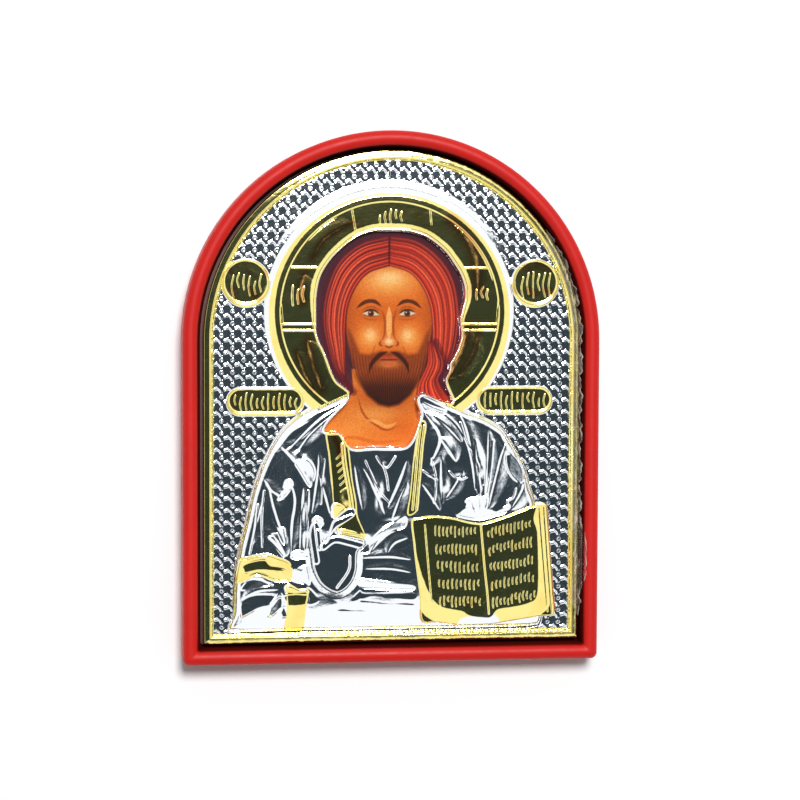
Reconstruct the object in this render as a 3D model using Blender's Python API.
"""Icon panel: a moulded tray with a printed card under an embossed foil cover.

The panel lies on its back. The origin is at the middle of the back, +Z comes out of the
picture side and +Y points to the top of the arch.
"""
import math

import bmesh
import bpy
import numpy as np
from mathutils.geometry import delaunay_2d_cdt

MM = 0.001

# Tray
TRAY_WIDTH = 59.5 * MM
TRAY_HEIGHT = 75.5 * MM
TRAY_DEPTH = 6.0 * MM
FLOOR_THICKNESS = 1.5 * MM
BEAD_WIDTH = 2.2 * MM
BACK_CHAMFER = 0.4 * MM
OUTER_CORNER = 0.8 * MM
INNER_CORNER = 0.3 * MM

# Gaps between the pieces
TOUCHING_GAP = 0.3 * MM
CARD_SIDE_GAP = 0.4 * MM
COVER_SIDE_GAP = 0.55 * MM
COVER_END_GAP = 0.5 * MM
COVER_OFF_CENTRE = 0.25 * MM

# Card and foil
CARD_THICKNESS = 0.5 * MM
COVER_THICKNESS = 0.5 * MM

# Border of the cover: an outer roll, a valley and an inner ridge
EDGE_RISE = 0.25 * MM
ROLL_WIDTH = 0.8 * MM
ROLL_RISE = 0.75 * MM
VALLEY_WIDTH = 0.15 * MM
VALLEY_RISE = 0.1 * MM
RIDGE_WIDTH = 0.45 * MM
RIDGE_RISE = 0.35 * MM

# Room that the figure leaves inside the border
FOOT_ROOM = -0.45 * MM
TOP_ROOM = 3.4 * MM
SIDE_ROOM = 2.17 * MM

# Rises of the embossing above the ground of the cover
HALO_RIM_RISE = 0.8 * MM
HALO_FIELD_RISE = 0.55 * MM
HALO_LINE_RISE = 0.12 * MM
SILVER_RIM_RISE = 0.45 * MM
LIP_WIDTH = 0.4 * MM
LIP_RISE = 0.2 * MM
LABEL_RIM_RISE = 0.5 * MM
LABEL_FIELD_RISE = 0.25 * MM
LABEL_RIM_WIDTH = 0.45 * MM
ROBE_RISE = 0.85 * MM
ROBE_DOME_RISE = 0.35 * MM
ROBE_DOME_REACH = 3.0 * MM
BAND_RISE = 0.2 * MM
BOOK_RISE = 1.45 * MM
SPINE_DROP = 0.35 * MM
HAND_RISE = 1.45 * MM
FINGER_RISE = 0.3 * MM
STROKE_RISE = 0.14 * MM
STROKE_WIDTH = 0.22 * MM
RAMP_WIDTH = 0.35 * MM
THIN_LINE_WIDTH = 0.2 * MM

# Fineness of the facets
ARCH_STEPS = 44
CORNER_STEPS = 3
BEAD_STEPS = 8
RING_STEPS = 48
LABEL_STEPS = 16
LINE_STEP = 2.2 * MM
ROBE_GRID = 2.6 * MM
MERGE_DISTANCE = 0.02 * MM

# Sizes that follow from the ones above
BEAD_RADIUS = BEAD_WIDTH / 2
RECESS_HALF_WIDTH = TRAY_WIDTH / 2 - BEAD_WIDTH
RECESS_HALF_HEIGHT = TRAY_HEIGHT / 2 - BEAD_WIDTH
CARD_BOTTOM = FLOOR_THICKNESS + TOUCHING_GAP
COVER_BOTTOM = CARD_BOTTOM + CARD_THICKNESS + TOUCHING_GAP
GROUND = COVER_BOTTOM + COVER_THICKNESS
COVER_HALF_WIDTH = RECESS_HALF_WIDTH - COVER_SIDE_GAP
COVER_HALF_HEIGHT = RECESS_HALF_HEIGHT - COVER_END_GAP
BORDER_WIDTH = ROLL_WIDTH + VALLEY_WIDTH + RIDGE_WIDTH

# The figure stands on the border and fills the field. Its points are in thousandths of its
# height, from the middle of its foot.
SHARE = 0.001
FIGURE_HALF_WIDTH_SHARES = 391
HALO_CENTRE = (-4, 728)
HALO_TOP_SHARES = HALO_CENTRE[1] + 282
FIGURE_HEIGHT = min(
    (2 * COVER_HALF_HEIGHT - 2 * BORDER_WIDTH - TOP_ROOM - FOOT_ROOM) / (HALO_TOP_SHARES * SHARE),
    (COVER_HALF_WIDTH - SIDE_ROOM) / (FIGURE_HALF_WIDTH_SHARES * SHARE),
)
FIGURE_FOOT = (0.0, BORDER_WIDTH + FOOT_ROOM - COVER_HALF_HEIGHT)

# Radii of the halo, from its outer foot inwards, with what each ring rises
HALO_RINGS = (
    (283, 0.0),
    (276, SILVER_RIM_RISE),
    (271, SILVER_RIM_RISE / 2),
    (267, HALO_RIM_RISE),
    (255, HALO_RIM_RISE),
    (250, HALO_FIELD_RISE),
    (245, HALO_FIELD_RISE + HALO_LINE_RISE),
    (240, HALO_FIELD_RISE),
)
HALO_ARM_TOP = 99
HALO_ARM_BOTTOM = -27
HALO_ARM_SECOND = -41
HALO_ARM_INNER = 172
HALO_ARM_OUTER = 243
HALO_TOP_ARM = ((-88, 237), (-78, 178), (88, 243), (92, 195))

MEDALLIONS = ((-326, 792), (326, 792))
MEDALLION_RADIUS = 56
CARTOUCHES = ((-283, 528), (280, 528))
CARTOUCHE_HALF_LENGTH = 89
CARTOUCHE_HALF_HEIGHT = 34

# The opening over the painted head, neck and hair
WINDOW = (
    (-5, 911), (-46, 905), (-84, 889), (-118, 864), (-146, 832), (-162, 793), (-168, 744),
    (-166, 680), (-149, 626), (-126, 581), (-95, 550), (-95, 539), (-128, 491), (-146, 465),
    (-110, 449), (-86, 424), (-31, 425), (20, 426), (48, 443), (64, 488), (56, 524), (68, 547),
    (96, 533), (124, 524), (129, 535), (118, 560), (130, 603), (146, 641), (155, 670), (150, 701),
    (161, 733), (164, 773), (152, 820), (123, 856), (82, 889), (39, 907),
)

# The robe, from the left shoulder down, along the foot and up the right arm to the collar
ROBE = (
    (-94, 552), (-157, 525), (-191, 512), (-229, 486), (-256, 457), (-278, 421), (-298, 377),
    (-316, 323), (-329, 265), (-345, 198), (-355, 131), (-358, 59), (-357, 8), (-171, 8),
    (66, 8), (236, 8), (340, 166), (332, 287), (320, 332), (301, 389), (269, 444), (253, 467),
    (211, 492), (168, 508), (127, 526), (80, 545), (40, 440), (-20, 410), (-80, 420), (-120, 470),
)

# Folds of the robe: half-width and rise in millimetres, then the crest
FOLDS = (
    (1.0, 0.50, (-102, 541), (-167, 508), (-227, 464), (-261, 417)),
    (0.7, 0.35, (-106, 526), (-167, 486), (-234, 421)),
    (0.7, 0.30, (-131, 503), (-183, 457), (-220, 408)),
    (0.9, 0.45, (-249, 428), (-220, 397), (-185, 343)),
    (0.8, 0.35, (-287, 356), (-270, 330), (-241, 312)),
    (0.8, 0.35, (-165, 416), (-167, 372), (-180, 277)),
    (0.7, 0.30, (-165, 367), (-151, 320), (-137, 268)),
    (0.8, 0.35, (-292, 299), (-303, 261), (-314, 210)),
    (0.7, 0.30, (-276, 339), (-263, 283), (-238, 209)),
    (1.0, 0.45, (-229, 354), (-218, 309), (-225, 253), (-227, 184)),
    (0.8, 0.30, (-198, 340), (-205, 264), (-207, 192)),
    (0.9, 0.45, (-271, 234), (-254, 209), (-238, 182)),
    (0.8, 0.35, (-85, 389), (-77, 337), (-66, 281)),
    (0.8, 0.35, (-67, 383), (-48, 348), (-14, 271)),
    (0.8, 0.35, (34, 397), (18, 352), (-11, 285)),
    (0.8, 0.30, (34, 347), (16, 307), (-2, 257)),
    (0.9, 0.45, (72, 504), (108, 446), (86, 383)),
    (0.8, 0.40, (108, 446), (145, 391)),
    (0.8, 0.35, (92, 498), (126, 468), (158, 434)),
    (0.9, 0.40, (142, 517), (169, 461), (195, 312)),
    (0.7, 0.30, (219, 465), (217, 404), (211, 307)),
    (0.9, 0.40, (261, 438), (247, 400), (232, 343), (218, 282)),
    (1.0, 0.45, (270, 440), (302, 381), (298, 331), (271, 282)),
    (0.7, 0.30, (111, 407), (111, 356), (113, 294)),
    (0.7, 0.30, (66, 345), (86, 317), (109, 281)),
    (0.7, 0.30, (161, 371), (143, 339), (120, 306)),
    (0.8, 0.40, (-67, 177), (-4, 178), (46, 171)),
    (0.7, 0.30, (-63, 152), (-4, 151), (46, 142)),
    (0.8, 0.40, (-72, 123), (-9, 117), (51, 108)),
    (0.8, 0.35, (-90, 89), (-15, 86), (55, 83)),
    (0.8, 0.35, (-47, 190), (-13, 228), (34, 248)),
    (0.8, 0.40, (-193, 46), (-157, 59), (-121, 72)),
    (0.8, 0.35, (-171, 26), (-78, 14), (28, 16)),
    (0.7, 0.30, (-337, 87), (-301, 104), (-254, 108)),
    (0.6, 0.25, (-254, 103), (-270, 77), (-279, 50)),
)

# Gilt strips on the robe: the stole, the hem beside the book and two bands on the sleeve
STOLE = (
    (-147, 459), (-110, 443), (-96, 362), (-81, 279), (-72, 229), (-106, 218), (-133, 309),
    (-140, 387),
)
HEM_STRIP = ((65, 484), (78, 477), (68, 383), (58, 282), (35, 273), (45, 374), (56, 457))
UPPER_BAND = (
    (-340, 174), (-325, 182), (-285, 189), (-258, 182), (-227, 166), (-227, 129), (-261, 127),
    (-301, 140), (-319, 134), (-345, 127),
)
LOWER_BAND = ((-236, 121), (-209, 109), (-187, 107), (-193, 62), (-202, 8), (-240, 8), (-236, 62))

# The raised hand and its fingers: half-width in millimetres, then the middle line
HAND = (
    (-179, 260), (-188, 231), (-182, 184), (-176, 148), (-158, 116), (-124, 98), (-95, 115),
    (-80, 147), (-77, 190), (-62, 203), (-63, 220), (-125, 240), (-84, 276), (-94, 292),
    (-134, 260), (-149, 217), (-163, 249),
)
FINGERS = (
    (0.55, (-177, 251), (-175, 209), (-167, 171)),
    (0.5, (-93, 279), (-118, 257), (-140, 229)),
    (0.5, (-71, 210), (-111, 223), (-140, 217)),
    (0.5, (-86, 187), (-87, 151), (-109, 118)),
)

# The open book: its outline, the spine and the page edges
BOOK = (
    (43, 260), (85, 272), (142, 266), (201, 254), (263, 271), (324, 292), (351, 288), (360, 168),
    (369, 42), (303, 36), (221, 42), (143, 37), (68, 32), (54, 149),
)
SPINE = ((201, 254), (211, 147), (221, 47))
PAGE_EDGE = ((336, 282), (344, 168), (354, 49))
PAGE_ROWS = 5
LEFT_PAGE_ROW = ((80, 232), (186, 236))
RIGHT_PAGE_ROW = ((212, 242), (322, 250))
ROW_DROP = 45
ROW_SHIFT = 3
ROW_STROKES = 4
ROW_STROKE_HEIGHT = 22

TRAY_RED = (0.56, 0.012, 0.01, 1.0)
CARD_ORANGE = (0.75, 0.16, 0.03, 1.0)
FOIL_SILVER = (0.8, 0.82, 0.84, 1.0)


def clear_scene():
    for item in list(bpy.data.objects):
        bpy.data.objects.remove(item, do_unlink=True)


def material(name, colour, roughness, metallic):
    made = bpy.data.materials.new(name)
    made.use_nodes = True
    shader = made.node_tree.nodes["Principled BSDF"]
    shader.inputs["Base Color"].default_value = colour
    shader.inputs["Roughness"].default_value = roughness
    shader.inputs["Metallic"].default_value = metallic
    return made


def object_from(mesh_builder, name, finish):
    mesh = bpy.data.meshes.new(name)
    mesh_builder.to_mesh(mesh)
    mesh_builder.free()
    mesh.materials.append(finish)
    made = bpy.data.objects.new(name, mesh)
    bpy.context.scene.collection.objects.link(made)
    return made


def arc(centre, radius, start, end, steps):
    """Points on an arc, both ends included; the angles are in degrees."""
    angles = np.radians(np.linspace(start, end, steps + 1))
    return np.column_stack((centre[0] + radius * np.cos(angles), centre[1] + radius * np.sin(angles)))


def arch_outline(half_width, half_height, corner, centre_x=0.0):
    """A half-round arch on straight sides, anticlockwise from its lower left corner."""
    left = arc((centre_x - half_width + corner, corner - half_height), corner, 180, 270, CORNER_STEPS)
    right = arc((centre_x + half_width - corner, corner - half_height), corner, 270, 360, CORNER_STEPS)
    top = arc((centre_x, half_height - half_width), half_width, 0, 180, ARCH_STEPS)
    return np.vstack((left, right, top))


def loft(mesh_builder, rings):
    """Closed skin through rings of (outline, height), with flat ends."""
    rows = []
    for outline, height in rings:
        rows.append([mesh_builder.verts.new((x, y, height)) for x, y in outline])
    for lower, upper in zip(rows[:-1], rows[1:]):
        for i in range(len(lower)):
            j = (i + 1) % len(lower)
            mesh_builder.faces.new((lower[i], lower[j], upper[j], upper[i]))
    mesh_builder.faces.new(list(reversed(rows[0])))
    mesh_builder.faces.new(rows[-1])


def build_tray(finish):
    """The red tray: a flat back, a floor and a half-round bead around the recess."""
    def ring(inset, height):
        corner = max(OUTER_CORNER - inset, INNER_CORNER)
        return arch_outline(TRAY_WIDTH / 2 - inset, TRAY_HEIGHT / 2 - inset, corner), height

    bead_foot = TRAY_DEPTH - BEAD_RADIUS
    rings = [ring(BACK_CHAMFER, 0.0), ring(0.0, BACK_CHAMFER)]
    for step in range(BEAD_STEPS + 1):
        angle = math.pi * step / BEAD_STEPS
        inset = BEAD_RADIUS * (1 - math.cos(angle))
        rings.append(ring(inset, bead_foot + BEAD_RADIUS * math.sin(angle)))
    rings.append(ring(BEAD_WIDTH, FLOOR_THICKNESS))
    skin = bmesh.new()
    loft(skin, rings)
    return object_from(skin, "frame", finish)


def build_card(finish):
    """The printed card that lies on the floor of the tray."""
    outline = arch_outline(
        RECESS_HALF_WIDTH - CARD_SIDE_GAP, RECESS_HALF_HEIGHT - CARD_SIDE_GAP, INNER_CORNER)
    skin = bmesh.new()
    loft(skin, [(outline, CARD_BOTTOM), (outline, CARD_BOTTOM + CARD_THICKNESS)])
    return object_from(skin, "picture", finish)


def placed(shares):
    """Points of the figure, from thousandths of its height to metres."""
    return np.array(FIGURE_FOOT) + np.array(shares, float) * SHARE * FIGURE_HEIGHT


def closed(outline):
    return np.vstack((outline, outline[:1]))


def distance_to(points, line):
    """Shortest distance from each point to a line of straight pieces."""
    shortest = np.full(len(points), np.inf)
    for start, end in zip(line[:-1], line[1:]):
        along = end - start
        share = np.clip((points - start) @ along / max(along @ along, 1e-18), 0.0, 1.0)
        offset = points - start - share[:, None] * along
        shortest = np.minimum(shortest, np.hypot(offset[:, 0], offset[:, 1]))
    return shortest


def inside(points, outline):
    """Which points lie inside a closed outline, by the crossings to their right."""
    found = np.zeros(len(points), bool)
    for (x0, y0), (x1, y1) in zip(outline, np.roll(outline, -1, axis=0)):
        if y0 != y1:
            level = (y0 > points[:, 1]) != (y1 > points[:, 1])
            crossing = x0 + (points[:, 1] - y0) * (x1 - x0) / (y1 - y0)
            found ^= level & (points[:, 0] < crossing)
    return found


def depth(points, outline):
    """Distance to an outline, positive inside it."""
    away = distance_to(points, closed(outline))
    return np.where(inside(points, outline), away, -away)


def stroke_row(start, end, count, height):
    """Upright strokes along a row, of uneven length so that the row looks written."""
    strokes = []
    for i in range(count):
        share = (i + 0.5) / count
        x = start[0] + (end[0] - start[0]) * share
        y = start[1] + (end[1] - start[1]) * share
        reach = height * (0.5 if i % 3 else 0.38)
        strokes.append(placed(((x, y - reach), (x, y + reach))))
    return strokes


def page_strokes():
    strokes = []
    for row in range(PAGE_ROWS):
        for start, end in (LEFT_PAGE_ROW, RIGHT_PAGE_ROW):
            drop = ROW_DROP * row
            shift = ROW_SHIFT * row
            strokes += stroke_row(
                (start[0] + shift, start[1] - drop), (end[0] + shift, end[1] - drop),
                ROW_STROKES, ROW_STROKE_HEIGHT)
    return strokes


def label_strokes():
    """Strokes on the medallions, the cartouches and the arms in the halo."""
    strokes = []
    for x, y in MEDALLIONS:
        strokes += stroke_row((x - 36, y), (x + 36, y), 3, 52)
    for x, y in CARTOUCHES:
        strokes += stroke_row((x - 72, y), (x + 72, y), 6, 34)
    x, y = HALO_CENTRE
    arm = (HALO_ARM_INNER + HALO_ARM_OUTER) / 2
    arm_height = y + (HALO_ARM_TOP + HALO_ARM_BOTTOM) / 2
    for side in (-1, 1):
        middle = x + side * arm
        strokes += stroke_row((middle - 16, arm_height), (middle + 16, arm_height), 2, 46)
    strokes += stroke_row((x - 26, y + 218), (x + 26, y + 218), 2, 30)
    return strokes


def halo_lines():
    """The raised lines that bound the three arms in the halo."""
    x, y = HALO_CENTRE
    lines = []
    for side in (-1, 1):
        for level in (HALO_ARM_TOP, HALO_ARM_BOTTOM, HALO_ARM_SECOND):
            outer = math.sqrt(HALO_ARM_OUTER ** 2 - level ** 2)
            lines.append(placed(((x + side * HALO_ARM_INNER, y + level), (x + side * outer, y + level))))
    for start, end in zip(HALO_TOP_ARM[0::2], HALO_TOP_ARM[1::2]):
        lines.append(placed(((x + start[0], y + start[1]), (x + end[0], y + end[1]))))
    return lines


def cartouche_outline(centre, inset):
    """A bar with round ends, shrunk by an inset."""
    x, y = placed([centre])[0]
    unit = SHARE * FIGURE_HEIGHT
    radius = CARTOUCHE_HALF_HEIGHT * unit - inset
    reach = (CARTOUCHE_HALF_LENGTH - CARTOUCHE_HALF_HEIGHT) * unit
    right = arc((x + reach, y), radius, -90, 90, LABEL_STEPS // 2)
    left = arc((x - reach, y), radius, 90, 270, LABEL_STEPS // 2)
    return np.vstack((right, left))


def medallion_outline(centre, inset):
    radius = MEDALLION_RADIUS * SHARE * FIGURE_HEIGHT - inset
    return arc(placed([centre])[0], radius, 0, 360, LABEL_STEPS)[:-1]


def cover_outline(inset):
    corner = max(INNER_CORNER - inset, INNER_CORNER / 2)
    return arch_outline(COVER_HALF_WIDTH - inset, COVER_HALF_HEIGHT - inset, corner, COVER_OFF_CENTRE)


def border_rings():
    """Insets of the border's lines from the edge, with what each rises."""
    valley = ROLL_WIDTH + VALLEY_WIDTH
    return (
        (0.0, EDGE_RISE),
        (ROLL_WIDTH / 2, ROLL_RISE),
        (ROLL_WIDTH, VALLEY_RISE),
        (valley, VALLEY_RISE),
        (valley + RIDGE_WIDTH / 2, RIDGE_RISE),
        (BORDER_WIDTH, 0.0),
    )


def crest(points, line, half_width, rise):
    """A ridge that falls away evenly on both sides of its line."""
    return rise * np.clip(1 - distance_to(points, line) / half_width, 0.0, 1.0)


def highest_crest(points, ridges):
    """The higher of all ridges of (line, half-width, rise) at each point."""
    highest = np.zeros(len(points))
    for line, half_width, rise in ridges:
        highest = np.maximum(highest, crest(points, line, half_width, rise))
    return highest


def fold_ridges():
    return [(placed(fold[2:]), fold[0] * MM, fold[1] * MM) for fold in FOLDS]


def finger_ridges():
    return [(placed(finger[1:]), finger[0] * MM, FINGER_RISE) for finger in FINGERS]


def stroke_ridges(strokes):
    return [(line, STROKE_WIDTH, STROKE_RISE) for line in strokes]


def ground_rise(points):
    """The border, the halo, the medallions and the cartouches."""
    insets, rises = zip(*border_rings())
    border = np.interp(depth(points, cover_outline(0.0)), insets, rises)
    centre = placed([HALO_CENTRE])[0]
    radius = np.hypot(points[:, 0] - centre[0], points[:, 1] - centre[1])
    radii, ring_rises = zip(*reversed(HALO_RINGS))
    halo = np.interp(radius, np.array(radii) * SHARE * FIGURE_HEIGHT, ring_rises)
    arms = highest_crest(points, [(line, THIN_LINE_WIDTH, HALO_LINE_RISE) for line in halo_lines()])
    lip = crest(points, closed(placed(WINDOW)), LIP_WIDTH, LIP_RISE)
    rise = np.maximum(border, halo + np.where(halo > 0, arms + lip, 0.0))
    for label in label_outlines(0.0):
        inwards = depth(points, label)
        raised = np.interp(
            inwards, (0.0, LABEL_RIM_WIDTH / 2, LABEL_RIM_WIDTH),
            (0.0, LABEL_RIM_RISE, LABEL_FIELD_RISE))
        rise = np.maximum(rise, raised)
    return rise + highest_crest(points, stroke_ridges(label_strokes()))


def label_outlines(inset):
    outlines = [medallion_outline(centre, inset) for centre in MEDALLIONS]
    return outlines + [cartouche_outline(centre, inset) for centre in CARTOUCHES]


def robe_rise(points):
    inwards = np.maximum(depth(points, placed(ROBE)), 0.0)
    dome = ROBE_DOME_RISE * (1 - np.exp(-inwards / ROBE_DOME_REACH))
    rise = ROBE_RISE + dome + highest_crest(points, fold_ridges())
    for strip in (STOLE, HEM_STRIP, UPPER_BAND, LOWER_BAND):
        rise = rise + BAND_RISE * np.clip(depth(points, placed(strip)) / RAMP_WIDTH, 0.0, 1.0)
    return rise


def book_rise(points):
    spine = crest(points, placed(SPINE), 3 * RAMP_WIDTH, SPINE_DROP)
    edge = crest(points, placed(PAGE_EDGE), THIN_LINE_WIDTH, SPINE_DROP / 2)
    return BOOK_RISE - spine - edge + highest_crest(points, stroke_ridges(page_strokes()))


def hand_rise(points):
    return HAND_RISE + highest_crest(points, finger_ridges())


def cover_rise(points):
    """Height of the embossing above the ground: each form is laid over the ones before it."""
    rise = ground_rise(points)
    for outline, form in ((ROBE, robe_rise), (BOOK, book_rise), (HAND, hand_rise)):
        share = np.clip(depth(points, placed(outline)) / RAMP_WIDTH, 0.0, 1.0)
        rise = rise * (1 - share) + form(points) * share
    return rise


def offset_line(line, distance):
    """The line moved sideways, by the mean direction of its neighbours at each point."""
    ahead = np.vstack((line[1:], 2 * line[-1:] - line[-2:-1]))
    behind = np.vstack((2 * line[:1] - line[1:2], line[:-1]))
    along = ahead - behind
    along = along / np.maximum(np.hypot(along[:, 0], along[:, 1]), 1e-12)[:, None]
    return line + distance * np.column_stack((-along[:, 1], along[:, 0]))


def offset_outline(outline, distance):
    """A closed outline moved inwards, whichever way round it runs."""
    padded = np.vstack((outline[-1:], outline, outline[:1]))
    moved = offset_line(padded, distance)[1:-1]
    if inside(moved, outline).mean() < 0.5:
        moved = offset_line(padded, -distance)[1:-1]
    return moved


def divided(line, step):
    """The line with points no further apart than the step."""
    points = [line[0]]
    for start, end in zip(line[:-1], line[1:]):
        pieces = max(1, math.ceil(np.hypot(*(end - start)) / step))
        for i in range(pieces):
            points.append(start + (end - start) * (i + 1) / pieces)
    return np.array(points)


def drawn(line, allowed):
    """The runs of a line whose points are all allowed."""
    runs = []
    run = []
    for point, good in zip(line, allowed(line)):
        if good:
            run.append(point)
        elif run:
            runs.append(np.array(run))
            run = []
    if run:
        runs.append(np.array(run))
    return runs


def ridge_foot(line, half_width):
    """The closed foot of a ridge, with a point past each end."""
    left = offset_line(line, half_width)
    right = offset_line(line, -half_width)
    across = left - right
    beyond = 0.5 * np.column_stack((across[:, 1], -across[:, 0]))
    start = line[:1] - beyond[:1]
    end = line[-1:] + beyond[-1:]
    return np.vstack((start, left, end, right[::-1], start))


def ridge_lines(ridges, allowed):
    """The crest and the foot of each ridge."""
    runs = []
    for line, half_width, _ in ridges:
        crest_line = divided(line, LINE_STEP)
        runs += drawn(crest_line, allowed)
        runs += drawn(ridge_foot(crest_line, half_width), allowed)
    return runs


def cover_lines():
    """Every line along which the cover's surface turns, as runs of points."""
    robe, book, hand = placed(ROBE), placed(BOOK), placed(HAND)
    edge, window = cover_outline(0.0), placed(WINDOW)

    def on_cover(points):
        return (depth(points, edge) > MERGE_DISTANCE) & (depth(points, window) < -MERGE_DISTANCE)

    def on_ground(points):
        hidden = inside(points, robe) | inside(points, book)
        return on_cover(points) & ~hidden

    def on_robe(points):
        hidden = inside(points, book) | inside(points, hand)
        return on_cover(points) & (depth(points, robe) > RAMP_WIDTH) & ~hidden

    def in_book(points):
        return depth(points, book) > RAMP_WIDTH / 2

    def in_hand(points):
        return depth(points, hand) > RAMP_WIDTH / 2

    def in_front(points):
        return on_cover(points) & ~inside(points, book)

    runs = [closed(edge), closed(window)]
    for inset, _ in border_rings()[1:]:
        runs += drawn(closed(cover_outline(inset)), on_ground)
    centre = placed([HALO_CENTRE])[0]
    for radius, _ in HALO_RINGS:
        ring = arc(centre, radius * SHARE * FIGURE_HEIGHT, 0, 360, RING_STEPS)
        runs += drawn(ring, on_ground)
    runs += drawn(closed(offset_outline(window, -LIP_WIDTH)), on_ground)
    runs += ridge_lines([(line, THIN_LINE_WIDTH, 0.0) for line in halo_lines()], on_ground)
    for inset in (0.0, LABEL_RIM_WIDTH / 2, LABEL_RIM_WIDTH):
        for label in label_outlines(inset):
            runs += drawn(closed(label), on_ground)
    runs += ridge_lines(stroke_ridges(label_strokes()), on_ground)
    runs += drawn(divided(closed(robe), LINE_STEP), in_front)
    runs += drawn(divided(closed(offset_outline(robe, RAMP_WIDTH)), LINE_STEP), in_front)
    runs += ridge_lines(fold_ridges(), on_robe)
    for strip in (STOLE, HEM_STRIP, UPPER_BAND, LOWER_BAND):
        runs += drawn(closed(placed(strip)), on_robe)
        runs += drawn(closed(offset_outline(placed(strip), RAMP_WIDTH)), on_robe)
    for outline in (book, hand):
        runs += drawn(closed(outline), on_cover)
        runs += drawn(closed(offset_outline(outline, RAMP_WIDTH)), on_cover)
    runs += ridge_lines([(placed(SPINE), 3 * RAMP_WIDTH, 0.0)], in_book)
    runs += ridge_lines([(placed(PAGE_EDGE), THIN_LINE_WIDTH, 0.0)], in_book)
    runs += ridge_lines(stroke_ridges(page_strokes()), in_book)
    runs += ridge_lines(finger_ridges(), in_hand)
    runs += [point[None, :] for point in robe_grid() if on_robe(point[None, :])[0]]
    return runs


def robe_grid():
    """Points between the folds, so that the robe keeps its dome."""
    low = placed(ROBE).min(axis=0)
    high = placed(ROBE).max(axis=0)
    columns = np.arange(low[0], high[0], ROBE_GRID)
    rows = np.arange(low[1], high[1], ROBE_GRID)
    return np.array([(x, y) for x in columns for y in rows])


def triangulated(runs):
    """Points and triangles of the flat net that keeps every run as edges."""
    points = []
    edges = []
    for run in runs:
        first = len(points)
        points += [tuple(point / MM) for point in run]
        edges += [(first + i, first + i + 1) for i in range(len(run) - 1)]
    net = delaunay_2d_cdt(points, edges, [], 0, MERGE_DISTANCE / MM, False)
    return np.array([tuple(point) for point in net[0]]) * MM, np.array(net[2])


def between(points, triangles, edge, window):
    """The triangles that lie on the cover, not outside it or over the opening."""
    middles = points[triangles].mean(axis=1)
    return triangles[inside(middles, edge) & ~inside(middles, window)]


def open_edges(triangles):
    """The edges that only one triangle uses, in that triangle's direction."""
    used = set()
    for a, b, c in triangles:
        used.update(((a, b), (b, c), (c, a)))
    return [(a, b) for a, b in sorted(used) if (b, a) not in used]


def build_cover(finish):
    """The embossed cover: a flat back, upright edges and the relief on top."""
    edge, window = cover_outline(0.0), placed(WINDOW)
    points, triangles = triangulated(cover_lines())
    triangles = between(points, triangles, edge, window)
    rises = cover_rise(points)
    rim = open_edges(triangles)
    skin = bmesh.new()
    top = {}
    for i in sorted(set(triangles.ravel().tolist())):
        top[i] = skin.verts.new((points[i][0], points[i][1], GROUND + rises[i]))
    for a, b, c in triangles.tolist():
        skin.faces.new((top[a], top[b], top[c]))
    rim_points = sorted({i for pair in rim for i in pair})
    bottom = {}
    for i in rim_points:
        bottom[i] = skin.verts.new((points[i][0], points[i][1], COVER_BOTTOM))
    for a, b in rim:
        skin.faces.new((bottom[a], bottom[b], top[b], top[a]))
    order = {point: place for place, point in enumerate(rim_points)}
    flat = [tuple(points[i] / MM) for i in rim_points]
    net = delaunay_2d_cdt(flat, [(order[a], order[b]) for a, b in rim], [], 0, 0.0, True)
    net_points = np.array([tuple(point) for point in net[0]]) * MM
    for triangle in between(net_points, np.array(net[2]), edge, window):
        a, b, c = (bottom[rim_points[net[3][i][0]]] for i in triangle)
        skin.faces.new((c, b, a))
    return object_from(skin, "cover", finish)


def build_panel():
    clear_scene()
    build_tray(material("red_plastic", TRAY_RED, 0.25, 0.0))
    build_card(material("printed_card", CARD_ORANGE, 0.35, 0.0))
    build_cover(material("embossed_foil", FOIL_SILVER, 0.2, 1.0))


build_panel()
